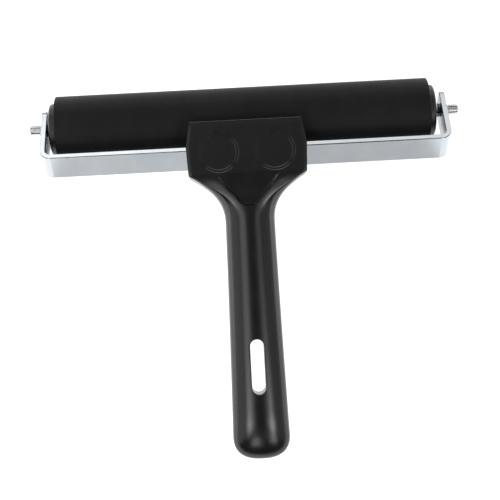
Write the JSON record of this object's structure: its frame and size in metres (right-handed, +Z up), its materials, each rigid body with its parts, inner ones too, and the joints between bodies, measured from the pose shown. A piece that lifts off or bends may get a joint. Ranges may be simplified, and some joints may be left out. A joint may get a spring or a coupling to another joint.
{
  "type": "rubber brayer",
  "caption": "Hand roller for ink or paste: a rubber-covered roller turning on an axle in a bent steel strip, with a moulded plastic handle that has a hanging slot.",
  "frame": {"origin": "the middle of the brayer's bounding box, at its foot: the brayer stands on its roller and on the underside of its heel", "axes": "+X along the roller, +Y from the handle's heel towards the roller, +Z up from the bench"},
  "size_m": [0.232, 0.199, 0.0446],
  "materials": {
    "rubber": "smooth ground black rubber, satin",
    "black_plastic": "satin black moulded plastic with a fine grain",
    "hub_plastic": "smooth black moulded plastic",
    "zinc_steel": "bright zinc plating, slightly blue",
    "bright_steel": "drawn and turned steel",
    "dark_steel": "oil-blackened spring steel",
    "aluminium_tube": "extruded tube",
    "bronze": "oil-soaked sintered bronze"
  },
  "bodies": {
    "frame": {"axle_rod": "bright_steel", "snap_ring_left": "dark_steel", "snap_ring_right": "dark_steel", "frame_strip": "zinc_steel", "strip_screw_left": "zinc_steel", "strip_screw_right": "zinc_steel", "handle_body": "black_plastic", "handle_back_cover": "black_plastic", "cover_cap_left": "black_plastic", "cover_cap_right": "black_plastic", "handle_screw_1": "zinc_steel", "handle_screw_2": "zinc_steel", "handle_screw_3": "zinc_steel", "handle_screw_4": "zinc_steel"},
    "roller": {"rubber_sleeve": "rubber", "roller_core": "aluminium_tube", "hub_left": "hub_plastic", "hub_right": "hub_plastic", "bush_left": "bronze", "bush_right": "bronze"}
  },
  "joints": [
    {"name": "roller_spin", "type": "hinge", "parent": "frame", "child": "roller", "pos_m": [0, 0.0818, 0.01769], "axis": [1, 0, 0], "continuous": true}
  ]
}
